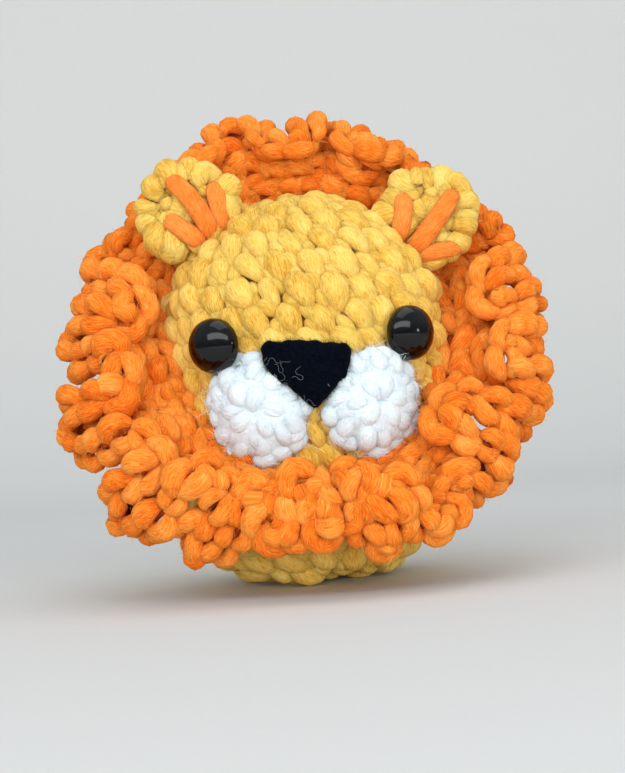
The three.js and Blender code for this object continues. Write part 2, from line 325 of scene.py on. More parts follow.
class Nodes:
    """A material's node tree, with short calls to add and join nodes."""

    def __init__(self, name):
        self.material = bpy.data.materials.new(name)
        self.material.use_nodes = True
        self.tree = self.material.node_tree
        self.shader = self.tree.nodes["Principled BSDF"]

    def add(self, kind, inputs=None, **settings):
        node = self.tree.nodes.new(kind)
        for key, value in settings.items():
            setattr(node, key, value)
        for key, value in (inputs or {}).items():
            self.set(node.inputs[key], value)
        return node

    def set(self, socket, value):
        if isinstance(value, bpy.types.NodeSocket):
            self.tree.links.new(value, socket)
        else:
            socket.default_value = value

    def math(self, operation, *values):
        node = self.add("ShaderNodeMath", operation=operation)
        for socket, value in zip(node.inputs, values):
            self.set(socket, value)
        return node.outputs[0]

    def place(self):
        """The place on the object, in metres."""
        return self.add("ShaderNodeTexCoord").outputs["Object"]

    def bump(self, height, strength, distance):
        """Raise the surface by the height, up to a distance in millimetres."""
        inputs = {"Strength": strength, "Distance": distance * MM, "Height": height}
        self.set(self.shader.inputs["Normal"], self.add("ShaderNodeBump", inputs).outputs["Normal"])

    def noise(self, vector, scale, detail=2.0, roughness=0.5):
        inputs = {"Vector": vector, "Scale": scale, "Detail": detail, "Roughness": roughness}
        return self.add("ShaderNodeTexNoise", inputs).outputs["Fac"]

    def ramp(self, value, stops):
        node = self.add("ShaderNodeValToRGB", {"Fac": value})
        elements = node.color_ramp.elements
        while len(elements) < len(stops):
            elements.new(0.5)
        for element, (position, colour) in zip(elements, stops):
            element.position = position
            element.color = (*colour, 1)
        return node.outputs["Color"]


def yarn_material(name, low, middle, high, sheen=0.35, glow=(1.0, 0.5, 0.15)):
    """Soft smooth yarn: fine fibres along each strand, and a tint that differs between strands."""
    n = Nodes(name)
    uv = n.add("ShaderNodeUVMap", uv_map="strand").outputs["UV"]
    split = n.add("ShaderNodeSeparateXYZ", {"Vector": uv})
    tint = n.add("ShaderNodeAttribute", attribute_name="tint").outputs["Fac"]
    layer = n.math("MULTIPLY", tint, 40)
    twisted = n.math("MULTIPLY_ADD", split.outputs["Y"], 0.25, split.outputs["X"])
    slow = n.math("MULTIPLY", split.outputs["Y"], 0.17)
    fibre_space = n.add("ShaderNodeCombineXYZ", {"X": twisted, "Y": slow, "Z": layer}).outputs[0]
    fibres = n.noise(fibre_space, 6.0, 2.0, 0.6)
    plies = n.noise(fibre_space, 1.7, 1.0, 0.5)
    flat_inputs = {"X": split.outputs["X"], "Y": split.outputs["Y"], "Z": layer}
    flat_space = n.add("ShaderNodeCombineXYZ", flat_inputs).outputs[0]
    patches = n.noise(flat_space, 0.5, 2.0)
    fluff = n.noise(n.place(), 3500.0, 3.0, 0.75)
    blend = n.math("MULTIPLY_ADD", fibres, 0.6, n.math("MULTIPLY_ADD", patches, 0.25, 0.05))
    blend = n.math("ADD", blend, n.math("MULTIPLY", tint, 0.12))
    colour = n.ramp(blend, [(0.38, low), (0.54, middle), (0.7, high)])
    height = n.math("MULTIPLY_ADD", fibres, 1.2, n.math("MULTIPLY", fluff, 0.5))
    height = n.math("MULTIPLY_ADD", plies, 1.2, height)
    n.bump(height, 0.9, 0.3)
    s = n.shader.inputs
    n.set(s["Base Color"], colour)
    s["Roughness"].default_value = 0.9
    s["Specular IOR Level"].default_value = 0.12
    s["Sheen Weight"].default_value = sheen
    s["Sheen Roughness"].default_value = 0.5
    s["Sheen Tint"].default_value = (*high, 1)
    s["Subsurface Weight"].default_value = 0.25
    s["Subsurface Radius"].default_value = glow
    s["Subsurface Scale"].default_value = 1.3 * MM
    return n.material


def plain_material(name, colour, roughness, grain=900.0, depth=0.2):
    """A plain material with a fine grain, for what is inside or under the surface."""
    n = Nodes(name)
    grain_value = n.noise(n.place(), grain, 4.0)
    dark = tuple(c * (1 - 1.5 * depth) for c in colour)
    n.set(n.shader.inputs["Base Color"], n.ramp(grain_value, [(0.3, dark), (0.7, colour)]))
    n.bump(grain_value, 0.4, depth)
    n.shader.inputs["Roughness"].default_value = roughness
    return n.material


def fibre_material(name, colour):
    """Loose fibres, in a matte material with a fine grain in their colour."""
    n = Nodes(name)
    dark = tuple(c * 0.85 for c in colour)
    blend = n.ramp(n.noise(n.place(), 300.0), [(0.3, dark), (0.7, colour)])
    n.set(n.shader.inputs["Base Color"], blend)
    n.shader.inputs["Roughness"].default_value = 1.0
    n.shader.inputs["Specular IOR Level"].default_value = 0.1
    return n.material


def gloss_material(name):
    """Hard glossy black plastic."""
    n = Nodes(name)
    dust = n.noise(n.place(), 1500.0, 5.0, 0.7)
    limits = {"From Min": 0.45, "From Max": 0.75, "To Min": 0.1, "To Max": 0.16}
    roughness = n.add("ShaderNodeMapRange", {"Value": dust, **limits})
    n.set(n.shader.inputs["Roughness"], roughness.outputs[0])
    black, dusty = (0.001, 0.001, 0.0015), (0.004, 0.004, 0.005)
    n.set(n.shader.inputs["Base Color"], n.ramp(dust, [(0.5, black), (0.8, dusty)]))
    n.shader.inputs["Specular IOR Level"].default_value = 0.4
    return n.material


def felt_material(name):
    """Black wool felt."""
    n = Nodes(name)
    fibres = n.noise(n.place(), 1800.0, 6.0, 0.75)
    low, high = (0.0005, 0.001, 0.003), (0.003, 0.005, 0.011)
    n.set(n.shader.inputs["Base Color"], n.ramp(fibres, [(0.35, low), (0.75, high)]))
    n.bump(fibres, 0.8, 0.2)
    n.shader.inputs["Roughness"].default_value = 0.95
    n.shader.inputs["Specular IOR Level"].default_value = 0.04
    n.shader.inputs["Sheen Weight"].default_value = 0.02
    n.shader.inputs["Sheen Roughness"].default_value = 0.4
    return n.material


ORANGE_GLOW = (1.0, 0.25, 0.05)
YELLOW = yarn_material("yellow_yarn", (0.60, 0.29, 0.027), (0.85, 0.54, 0.105), (0.97, 0.71, 0.22))
ORANGE = yarn_material(
    "orange_yarn", (0.70, 0.095, 0.004), (0.93, 0.235, 0.02), (1.0, 0.41, 0.09), glow=ORANGE_GLOW)
WHITE = yarn_material(
    "white_yarn", (0.66, 0.78, 0.86), (0.75, 0.86, 0.93), (0.84, 0.92, 0.97), 0.5, (0.8, 0.9, 1.0))
ORANGE_SMOOTH = yarn_material(
    "orange_stripe_yarn", (0.78, 0.16, 0.02), (0.90, 0.27, 0.045), (0.96, 0.38, 0.1), 0.2, ORANGE_GLOW)
WHITE_DEEP = plain_material("white_inside", (0.72, 0.83, 0.9), 0.95, grain=1400.0, depth=0.14)
YELLOW_FUZZ = fibre_material("yellow_fibres", (1.0, 0.78, 0.30))
ORANGE_FUZZ = fibre_material("orange_fibres", (1.0, 0.38, 0.10))
WHITE_FUZZ = fibre_material("white_fibres", (0.80, 0.89, 0.95))
LINT = fibre_material("lint", (0.2, 0.2, 0.22))
BLACK_FUZZ = fibre_material("black_fibres", (0.006, 0.007, 0.012))
# Each yarn's material, its loose fibres' material and its slot.
YELLOW_YARN = (YELLOW, YELLOW_FUZZ, "yellow_yarn")
ORANGE_YARN = (ORANGE, ORANGE_FUZZ, "orange_yarn")
STRIPE_YARN = (ORANGE_SMOOTH, ORANGE_FUZZ, "orange_yarn")
WHITE_YARN = (WHITE, WHITE_FUZZ, "white_yarn")
# The dark yellow of the fabric inside is painted shade: the real yarn there is the same yellow, only
# shaded.
YELLOW_PAINTED_SHADE = plain_material("yellow_inside_painted_shade", (0.45, 0.19, 0.02), 0.95)
# The dark orange of the frill's inside is painted shade: the real yarn there is the same orange, only
# shaded.
ORANGE_PAINTED_SHADE = plain_material("orange_inside_painted_shade", (0.45, 0.07, 0.006), 0.95)
BLACK_PLASTIC = gloss_material("black_plastic")
BLACK_FELT = felt_material("black_felt")
WASHER_PLASTIC = plain_material("washer_plastic", (0.75, 0.75, 0.72), 0.45)
FIBREFILL = plain_material("fibrefill", (0.9, 0.9, 0.88), 0.98, grain=400.0)


# ---- the body's surface


def egg_outline(inset, steps=24):
    """Radius and height from the crown's middle down to the base's middle, moved in by inset."""
    turn = np.linspace(math.pi / 2, 0, steps)
    reach = BODY_RADIUS - inset
    lower_radius = BASE_RADIUS + (reach - BASE_RADIUS) * np.sin(turn)
    lower_height = TAPER_HEIGHT - (TAPER_HEIGHT - inset) * np.cos(turn)
    radius = np.concatenate([reach * np.cos(turn), lower_radius, [0]])
    height = np.concatenate([SHOULDER + reach * np.sin(turn), lower_height, [inset]])
    return radius, height


def round_z(radius, azimuth, height):
    """Points about Z, with azimuth 0 at the front and positive towards +X."""
    return np.stack([radius * np.sin(azimuth), -radius * np.cos(azimuth), height + 0 * azimuth], -1)


class Egg:
    """The body's surface, addressed by azimuth from the front and by distance down from the crown."""

    def __init__(self, inset):
        self.radius, self.height = egg_outline(inset)
        self.arc = run_along(np.column_stack([self.radius, self.height]))
        self.length = self.arc[-1]

    def at(self, arc):
        arc = np.clip(arc, 0, self.length)
        return np.interp(arc, self.arc, self.radius), np.interp(arc, self.arc, self.height)

    def place(self, azimuth, arc, lift):
        """Points on the surface, raised by lift, and the outward direction there."""
        before, after = self.at(arc - 1.5), self.at(arc + 1.5)
        run, rise = after[0] - before[0], after[1] - before[1]
        size = np.maximum(np.hypot(run, rise), 1e-6)
        normal = round_z(-rise / size, azimuth, run / size)
        radius, height = self.at(arc)
        return round_z(radius, azimuth, height) + normal * np.asarray(lift)[..., None], normal


# ---- single crochet

# One stitch, drawn in millimetres at the pitch and round height above: x along the round, y up,
# z out of the fabric. Each strand is a list of (x, y, z, radius).
BIG_LEG = [(-2.0, 3.3, -1.5, 1.3), (-1.0, 2.4, 0.1, 2.2), (0.2, 0.7, 0.7, 2.45),
           (1.4, -1.4, 0.2, 1.9), (2.3, -3.4, -1.3, 0.8)]
SMALL_LEG = [(-2.7, 1.3, -0.9, 0.8), (-2.6, 0.0, 0.1, 1.35), (-1.6, -1.7, 0.2, 1.4),
             (-0.2, -3.3, -1.1, 0.7)]
TOP_LOOP = [(0.4, 3.5, -1.3, 1.0), (1.6, 2.9, 0.0, 1.6), (2.9, 1.6, -0.2, 1.5), (3.4, 0.2, -1.3, 0.9)]
STITCH = [BIG_LEG, SMALL_LEG, TOP_LOOP]


def jittered(strand, rng, amount):
    """The strand's points with a hand-made unevenness."""
    points = np.array(strand, float)
    turn = rng.normal() * 0.18 * amount
    c, s = math.cos(turn), math.sin(turn)
    points[:, :2] = points[:, :2] @ np.array([[c, s], [-s, c]])
    points[:, :3] += rng.normal(size=3) * (0.35, 0.3, 0.2) * amount
    points[:, 3] *= 1 + rng.normal() * 0.11 * amount
    return points


def crochet_egg(strands, egg, rounds):
    """Rounds of single crochet on the body, the crown's first."""
    row = egg.length / BODY_ROUNDS
    rng = strands.rng
    for i in rounds:
        middle = (i + 0.5) * row
        radius = egg.at(middle)[0]
        stitches = max(6, round(TAU * radius / STITCH_PITCH))
        width = TAU / stitches
        squeeze = min(TAU * radius / stitches / STITCH_PITCH, 1.1)
        for k in range(stitches):
            azimuth = (k + ROUND_OFFSET * i) * width
            lift = 0.35 * rng.normal()
            lean = 0.10 * rng.normal()
            for strand in STITCH:
                p = jittered(strand, rng, 1.0)
                p[:, 0] -= lean * p[:, 1]
                angle = azimuth + p[:, 0] / STITCH_PITCH * width
                arc = np.abs(middle - p[:, 1] * row / ROUND_HEIGHT)
                points, ups = egg.place(angle, arc, p[:, 2] + lift)
                strands.add(points, ups, p[:, 3] * (0.45 + 0.55 * squeeze))


BODY_ROUNDS = 20
ROUND_OFFSET = 0.62  # how far each round is turned from the one above, in stitches
# The body's pieces, with the rounds that each holds, and the CAD nodes that two of them replace.
BODY_PARTS = {"crown_rounds": range(0, 5), "brow_rounds": range(5, 9), "cheek_rounds": range(9, 13),
              "belly_rounds": range(13, 17), "base_rounds": range(17, 20)}
BODY_REPLACED = {"crown_rounds": ["body_shell"], "base_rounds": ["closing_knot"]}


def make_body():
    egg = Egg(YARN_BULGE)
    for number, (name, rounds) in enumerate(BODY_PARTS.items()):
        strands = Strands(seed=100 + number)
        crochet_egg(strands, egg, rounds)
        finish_yarn(strands, (name, f"{name}_fuzz"), YELLOW_YARN, "body", (0.14, 1.0),
                    BODY_REPLACED.get(name, ()), floor=0.0)
    # A dark sheet under the yarn, whose colour is painted shade seen through the gaps between the
    # stitches.
    inside_painted_shade = turned_mesh("fabric_inside_painted_shade", *egg_outline(YARN_BULGE + 1.2), segments=64)
    finish_piece(inside_painted_shade, YELLOW_PAINTED_SHADE, "body")


# ---- eyes


def make_eye(side):
    """A safety eye: a black dome with a thin rim, and its shank through the fabric."""
    name = "left" if side < 0 else "right"
    dome = np.linspace(0, math.pi / 2, 14)
    tip = SHANK_RADIUS - 0.7
    under_radius = [EYE_RADIUS, EYE_RADIUS - 0.25, SHANK_RADIUS, SHANK_RADIUS, tip, 0]
    under_height = [0.3, 0, 0, 0.8 - SHANK_LENGTH, -SHANK_LENGTH, -SHANK_LENGTH]
    radius = np.concatenate([EYE_RADIUS * np.sin(dome), under_radius])
    height = np.concatenate([EYE_RIM + EYE_DOME * np.cos(dome), under_height])
    piece = turned_mesh(f"eye_{name}_dome", radius, height, segments=48)
    azimuth = side * EYE_AZIMUTH
    turn = Matrix.Rotation(azimuth, 4, "Z") @ Matrix.Rotation(math.pi / 2, 4, "X")
    move = Matrix.Translation((0, 0, EYE_HEIGHT * MM))
    out = Matrix.Translation((0, 0, (BODY_RADIUS + 0.3) * MM))
    piece.data.transform(move @ turn @ out)
    finish_piece(piece, BLACK_PLASTIC, f"eye_{name}", [f"eye_{name}"])


# ---- ears


class EarFrame:
    """Places things drawn with x along the ear's foot, y out along the ear and z to its front."""

    def __init__(self, name):
        self.name = name
        base, lean = EAR_BASE_ANGLE[name], EAR_LEAN[name]
        reach = math.sqrt(BODY_RADIUS**2 - EAR_Y**2) + EAR_LIFT
        self.foot = np.array([reach * math.cos(base), EAR_Y, SHOULDER + reach * math.sin(base)])
        self.out = np.array([math.cos(lean), 0, math.sin(lean)])
        self.along = np.array([math.sin(lean), 0, -math.cos(lean)])
        self.front = np.array([0.0, -1.0, 0.0])

    def place(self, p):
        return self.foot + self.turn(p)

    def turn(self, v):
        v = np.asarray(v, float)
        return v[..., :1] * self.along + v[..., 1:2] * self.out + v[..., 2:3] * self.front

    def bend(self, piece):
        """Bakes the piece's place into its mesh."""
        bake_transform(piece)


def ear_polar(angle, share):
    """A point of the ear's disc, with share 1 at its edge."""
    return np.stack([
        EAR_HALF_WIDTH * share * np.cos(angle),
        EAR_REACH + EAR_HALF_LENGTH * share * np.sin(angle),
    ], -1)


# Fat loops over the ear's edge, drawn as (turn, share of the radius, z, radius): from the ear's
# front over its edge to its back.
RIM_LOOP = [(-0.10, 0.42, 1.0, 1.0), (-0.05, 0.62, 1.7, 1.9), (0.0, 0.80, 1.2, 2.4),
            (0.03, 0.83, -0.2, 2.4), (0.06, 0.79, -1.4, 2.3), (0.1, 0.60, -1.7, 1.9),
            (0.14, 0.4, -1.0, 1.0)]
RIM_LEAF = [(0.0, 0.40, 0.8, 0.7), (0.0, 0.60, 1.9, 1.2), (-0.03, 0.78, 1.8, 1.2),
            (-0.05, 0.93, 0.6, 0.9)]
EAR_KNOT = [(-0.3, 0.34, 0.9, 0.9), (0.0, 0.46, 1.7, 1.7), (0.32, 0.44, 1.2, 1.0)]
EAR_MIDDLE = [(0.1, -0.06, 0.6, 1.0), (0.0, 0.14, 1.3, 1.8), (-0.1, 0.32, 1.3, 1.8),
              (-0.1, 0.48, 0.4, 1.0)]


def ear_strand(strands, ear, drawn, angle, facing=1.0, tilt=0.0):
    """One strand of an ear, moved a little at random; facing is 1 on its front and -1 on its back."""
    p = jittered([(0, 0, 0, r) for *_, r in drawn], strands.rng, 1.2)
    drawn = np.array(drawn)
    flat = ear_polar(angle + drawn[:, 0] + tilt * drawn[:, 2], drawn[:, 1])
    local = np.column_stack([flat, drawn[:, 2] * facing]) + p[:, :3] * 0.8
    middle = np.array([0, EAR_REACH * 0.8, 0])
    strands.add(ear.place(local), ear.turn(local - middle), p[:, 3], steps=16, sides=12, flat=0.9)


RIM_LOOPS = 10
EAR_KNOTS = 7
RIM_START, RIM_END = math.radians(-28), math.radians(208)


def make_ear(name, seed):
    ear = EarFrame(name)
    strands = Strands(seed)
    step = (RIM_END - RIM_START) / (RIM_LOOPS - 1)
    for k in range(RIM_LOOPS):
        angle = RIM_START + k * step + 0.05 * strands.rng.normal()
        ear_strand(strands, ear, RIM_LOOP, angle, tilt=0.05 + 0.06 * strands.rng.normal())
        for facing in (1.0, -1.0):
            ear_strand(strands, ear, RIM_LEAF, angle + 0.5 * step, facing)
    for facing in (1.0, -1.0):
        for k in range(EAR_KNOTS):
            even = RIM_START + (k + 0.5) * (RIM_END - RIM_START) / EAR_KNOTS
            angle = even + 0.1 * strands.rng.normal()
            ear_strand(strands, ear, EAR_KNOT, angle, facing)
            ear_strand(strands, ear, EAR_MIDDLE, angle + 0.2, facing)
        for x in (-6.4, -2.2, 2.2, 6.4):
            foot = [(x * 0.8 - 1.2, -3.6, 0.5 * facing, 1.2), (x - 0.3, -1.2, 1.6 * facing, 2.2),
                    (x + 0.3, 1.6, 1.6 * facing, 2.1), (x + 0.6, 4.2, 0.8 * facing, 1.0)]
            p = jittered(foot, strands.rng, 0.8)
            strands.add(ear.place(p[:, :3]), ear.turn((0, 0, facing)), p[:, 3], steps=14, sides=12)
    names = (f"ear_{name}_crochet", f"ear_{name}_fuzz")
    finish_yarn(strands, names, YELLOW_YARN, ear, (0.1, 1.0), [f"ear_{name}"])
    # The ear's core is dark yellow, painted shade between its strands.
    core = turned_mesh(f"ear_{name}_inside", np.array([0, 4, 6.6, 8.2, 6.6, 4, 0]),
                       np.array([1.9, 1.8, 1.2, 0, -1.2, -1.8, -1.9]), segments=32)
    core.data.transform(ear_matrix(ear))
    finish_piece(core, YELLOW_PAINTED_SHADE, ear)
    make_ear_stripes(ear)


def ear_matrix(ear):
    """Carries a mesh turned about Z to the middle of the ear's disc."""
    matrix = Matrix.Identity(4)
    middle = ear.foot + (EAR_REACH + 0.6) * ear.out
    for row in range(3):
        matrix[row][0], matrix[row][1], matrix[row][2] = ear.along[row], ear.out[row], ear.front[row]
        matrix[row][3] = middle[row] * MM
    return matrix


# The stripes, drawn as (x, y, z, radius) on the ear's front.
STRIPES = {
    "left": [[(-1.6, -3.4, 0.6, 1.2), (-2.1, -1.2, 2.9, 1.9), (-3.0, 1.6, 3.6, 1.9),
              (-3.9, 4.4, 3.2, 1.8), (-4.5, 5.9, 1.2, 1.2)],
             [(0.9, -3.4, 0.8, 1.2), (1.3, -1.0, 3.2, 1.9), (1.7, 3.0, 4.2, 2.0), (1.6, 7.2, 4.2, 1.95),
              (1.1, 10.2, 3.4, 1.8), (0.9, 11.9, 1.2, 1.2)],
             [(3.2, -4.0, 0.6, 1.2), (4.2, -1.6, 2.9, 1.8), (5.4, 1.4, 3.5, 1.9), (6.5, 4.2, 3.1, 1.8),
              (7.1, 5.9, 1.2, 1.2)]],
    "right": [[(-2.0, -4.0, 0.6, 1.2), (-2.9, -1.6, 2.9, 1.8), (-4.3, 1.2, 3.6, 1.9),
               (-5.8, 3.6, 3.1, 1.8), (-6.8, 5.0, 1.2, 1.2)],
              [(1.4, -4.4, 0.8, 1.2), (1.5, -1.6, 3.2, 1.9), (1.6, 2.4, 4.2, 2.0), (1.6, 6.6, 4.2, 1.9),
               (1.5, 9.6, 3.4, 1.8), (1.5, 11.3, 1.2, 1.2)],
              [(2.2, -4.6, 0.6, 1.2), (3.9, -2.4, 2.8, 1.6), (6.0, 0.0, 3.2, 1.7), (7.9, 2.0, 2.6, 1.6),
               (8.9, 3.2, 1.0, 1.1)]],
}


def make_ear_stripes(ear):
    """Three straight stitches of orange yarn that fan out from the ear's foot."""
    strands = Strands(seed=240)
    for stripe in STRIPES[ear.name]:
        p = np.array(stripe)
        strands.add(ear.place(p[:, :3]), ear.front, p[:, 3], steps=30, sides=14, flat=0.62)
    names = (f"ear_{ear.name}_stripes", f"ear_{ear.name}_stripes_fuzz")
    nodes = [f"ear_stitch_{ear.name}_{k}" for k in (1, 2, 3)]
    finish_yarn(strands, names, STRIPE_YARN, ear, (0.2, 0.8), nodes)


# ---- muzzle pads


# Where each pad reaches furthest, as (direction, extra share of its radius).
LEFT_PAD_CORNERS = [(math.radians(-32), 0.05), (math.radians(-110), 0.08)]
RIGHT_PAD_CORNERS = [(math.radians(-60), 0.03)]


def pad_reach(side_azimuth, angle):
    """How far a pad's edge is from its middle."""
    corners = LEFT_PAD_CORNERS if side_azimuth < 0 else RIGHT_PAD_CORNERS
    extra = sum(share * np.exp(2.5 * (np.cos(angle - way) - 1)) for way, share in corners)
    return PAD_RADIUS * (1 + extra)


def nose_clearance(x, z):
    """From 0 away from the nose to 1 where the nose lies over the pads."""
    corners = nose_corners() + (NOSE_X, 0)
    inward = np.full(np.shape(x), np.inf)
    for (ax, az), (bx, bz) in zip(corners, np.roll(corners, -1, axis=0)):
        edge = ((bx - ax) * (z - az) - (bz - az) * (x - ax)) / math.hypot(bx - ax, bz - az)
        inward = np.minimum(inward, edge)
    t = np.clip((inward + 2.6) / 2.4, 0, 1)
    return t * t * (3 - 2 * t)


def pad_place(side_azimuth, angle, share, lift):
    """A point on a pad's dome: angle round its middle, share 1 at its edge."""
    reach = pad_reach(side_azimuth, angle)
    across = reach * share * np.cos(angle)
    up = reach * share * np.sin(angle)
    crown = PAD_DEPTH * np.sqrt(np.clip(1 - (share * 0.96) ** 2, 0, 1))
    azimuth = side_azimuth + across / BODY_RADIUS
    radius = BODY_RADIUS + crown - PAD_SINK + lift
    pressed = nose_clearance(radius * np.sin(azimuth), PAD_HEIGHT + up)
    radius = radius - pressed * np.maximum(0, radius - BODY_RADIUS - 0.2)
    point = round_z(radius, azimuth, PAD_HEIGHT + up)
    sideways = np.stack([np.cos(azimuth), np.sin(azimuth), 0 * azimuth], -1) * np.cos(angle)[..., None]
    edgeways = sideways + np.sin(angle)[..., None] * (0, 0, 1)
    return point, unit(round_z(1, azimuth, 0) + 0.9 * share[..., None] * edgeways)


# The pad's strands, drawn as (turn, share, lift, radius), and how many there are of each.
PAD_PETALS, PAD_OUTERS, PAD_EDGES = 6, 11, 15
PAD_PETAL = [(0.02, 0.03, -1.1, 1.1), (0.0, 0.20, -0.3, 1.9), (-0.06, 0.40, -0.1, 2.1),
             (-0.16, 0.60, -0.6, 1.4)]
PAD_OUTER = [(0.16, 0.40, -1.0, 1.2), (0.05, 0.58, -0.2, 1.9), (-0.06, 0.76, -0.1, 1.9),
             (-0.16, 0.92, -0.7, 1.2)]
PAD_LEAF = [(-0.12, 0.40, -0.7, 1.0), (0.03, 0.60, -0.1, 1.5), (0.12, 0.84, -0.2, 1.2)]
PAD_EDGE = [(-0.26, 0.86, -0.9, 0.8), (-0.11, 0.92, -0.1, 1.5), (0.08, 0.93, -0.1, 1.5),
            (0.25, 0.88, -0.8, 0.9)]


def pad_strand(strands, side_azimuth, drawn, angle):
    """One strand of a pad, mirrored on the right pad and moved a little at random."""
    drawn = np.array(drawn)
    rng = strands.rng
    drawn[:, 3] *= 1 + 0.12 * rng.normal()
    turn = angle + drawn[:, 0] * (1 if side_azimuth < 0 else -1) + 0.132 * rng.normal()
    share = drawn[:, 1] + 0.044 * rng.normal()
    point, normal = pad_place(side_azimuth, turn, share, drawn[:, 2] + 0.2 * rng.normal())
    strands.add(point, normal, drawn[:, 3], steps=14, sides=10, flat=0.8)


def make_pad(name, seed):
    """A small round of white crochet: petals out from its middle, a second round, and its edge."""
    strands = Strands(seed)
    azimuth = PAD_AZIMUTH[name]
    for k in range(PAD_PETALS):
        pad_strand(strands, azimuth, PAD_PETAL, k * TAU / PAD_PETALS)
    for k in range(PAD_OUTERS):
        pad_strand(strands, azimuth, PAD_OUTER, (k + 0.5) * TAU / PAD_OUTERS)
        pad_strand(strands, azimuth, PAD_LEAF, k * TAU / PAD_OUTERS)
    for k in range(PAD_EDGES):
        pad_strand(strands, azimuth, PAD_EDGE, k * TAU / PAD_EDGES)
    names = (f"pad_{name}_crochet", f"pad_{name}_fuzz")
    fibres = (1.0, 1.5, (0.05, 0.3), 0.85)
    finish_yarn(strands, names, WHITE_YARN, "body", fibres, [f"muzzle_pad_{name}"])
    make_pad_inside(name, azimuth)


def make_pad_inside(name, azimuth):
    """The fabric behind the pad's yarn, which closes the holes between its strands."""
    ring = np.arange(32) * TAU / 32
    share, angle = np.meshgrid(np.linspace(0, 0.93, 8)[1:], ring, indexing="ij")
    front = pad_place(azimuth, angle, share, 1.05 - 2.0 * share**5)[0]
    middle, back = pad_place(azimuth, np.zeros(2), np.zeros(2), np.array([-0.3, -4.4]))[0]
    piece = shell_mesh(f"pad_{name}_inside", middle, front, back)
    finish_piece(piece, WHITE_DEEP, "body")


# ---- nose

# The nose's corners: (across as a share of its half width, distance below its top), and how far
# each is rounded.
NOSE_CORNERS = [(-0.98, -0.9, 2.3), (-0.92, 4.3, 2.2), (0.09, 12.5, 1.5), (0.82, 6.2, 2.2),
                (0.95, 0.7, 2.3)]


def nose_corners():
    return np.array([(across * NOSE_HALF, NOSE_UP - down) for across, down, _ in NOSE_CORNERS])


def nose_outline(steps=96):
    """The nose's outline, point down with round corners, as (across, height)."""
    corners = nose_corners()
    points = []
    for k, (*_, bend) in enumerate(NOSE_CORNERS):
        corner, before, after = corners[k], corners[k - 1], corners[(k + 1) % len(corners)]
        a = corner + unit(before - corner) * bend
        b = corner + unit(after - corner) * bend
        for t in np.linspace(0, 1, 8):
            points.append((1 - t) ** 2 * a + 2 * t * (1 - t) * corner + t * t * b)
    closed = np.array(points + points[:1])
    run = run_along(closed)
    at = np.linspace(0, run[-1], steps, endpoint=False)
    outline = read_at(at, run, closed)
    outline[:, 1] += 0.3 * np.exp(-((outline[:, 0] / 4) ** 2)) * (outline[:, 1] > NOSE_UP - 1)
    return outline + 0.12 * np.stack([wobble(at / 3, 12), wobble(at / 3, 13)], -1)


def before_face(x, z, depth):
    """Points in front of the face, at a distance from the body's axis."""
    return np.stack([x, -np.sqrt(depth**2 - x**2), z], -1)


# From the felt's front to its back: (share of the outline, height above the body).
NOSE_PROFILE = [(0.2, 4.4), (0.45, 4.35), (0.68, 4.2), (0.86, 3.9), (0.95, 3.5), (1.0, 2.9),
                (1.0, 2.1), (0.96, 1.7), (0.7, 1.5), (0.3, 1.5)]


def make_nose():
    """A triangle of thick black felt, a little domed, that lies over the pads' upper edges."""
    outline = nose_outline()
    centre = np.array([0.2, (NOSE_UP * 2 + NOSE_DOWN) / 3])
    rings, edge = [], []
    for share, lift in NOSE_PROFILE:
        flat = centre + (outline - centre) * share
        across, height = flat.T
        fold = np.sin(0.75 * across + 0.5 * height) + 0.7 * np.sin(0.9 * height - 0.3 * across)
        depth = BODY_RADIUS - 0.55 + lift + 0.22 * fold * (lift > 2)
        rings.append(before_face(NOSE_X + across, height, depth))
        if 1.6 < lift < 3.6:
            away = np.stack([across - centre[0], np.full(len(flat), -2.0), height - centre[1]], -1)
            turn = np.stack([-away[:, 2], np.zeros(len(flat)), away[:, 0]], -1)
            edge.append(np.column_stack([rings[-1], away, unit(turn)]))
    piece = shell_mesh("nose_triangle", rings[0].mean(axis=0), rings, rings[-1].mean(axis=0))
    finish_piece(piece, BLACK_FELT, "body", ["nose_felt"])
    skin = np.repeat(np.concatenate(edge), 4, axis=0)
    loose = fuzz("nose_fuzz", skin, np.random.default_rng(250), 0.9, 0.55, thick=0.8)
    finish_piece(loose, BLACK_FUZZ, "body")
    make_lint()


# Where each loose fibre starts on the nose: (across, distance below its top), and its heading.
LINT_STARTS = [(-7.6, 2.0, -1.2), (-6.6, 3.8, -0.6), (-5.2, 5.2, -2.4), (-3.4, 6.6, 0.2),
               (-1.6, 9.6, -1.5)]
LINT_RADIUS = 0.026


def make_lint():
    """A few fine curly fibres that have caught on the felt."""
    lint = Strands(seed=251)
    for across, down, heading in LINT_STARTS:
        steps = 24
        t = np.arange(steps)
        turns = heading + 0.09 * t + 1.5 * np.sin(0.42 * t + lint.rng.uniform(0, TAU))
        run = 0.27 * np.cumsum(np.stack([np.cos(turns), np.sin(turns)], -1), axis=0)
        depth = BODY_RADIUS + 4.05 + 0.15 * np.sin(t)
        points = before_face(NOSE_X + across + run[:, 0], NOSE_UP - down + run[:, 1], depth)
        lint.add(points, (0, -1, 0), np.full(steps, LINT_RADIUS), steps=60, sides=5)
    finish_piece(lint.mesh("nose_lint"), LINT, "body")


# ---- mane


def body_radius(z):
    """The body's outer radius at a height."""
    ball = np.sqrt(np.maximum(0, BODY_RADIUS**2 - np.maximum(z - SHOULDER, 0) ** 2))
    drop = np.clip((TAPER_HEIGHT - z) / TAPER_HEIGHT, 0, 1)
    taper = BASE_RADIUS + (BODY_RADIUS - BASE_RADIUS) * np.sqrt(1 - drop**2)
    return np.where(z > TAPER_HEIGHT, ball, taper)


RING_TOP = SHOULDER + math.sqrt(BODY_RADIUS**2 - RING_BACKSET**2)


def drop_at(angle):
    return (1 - np.sin(angle)) / 2


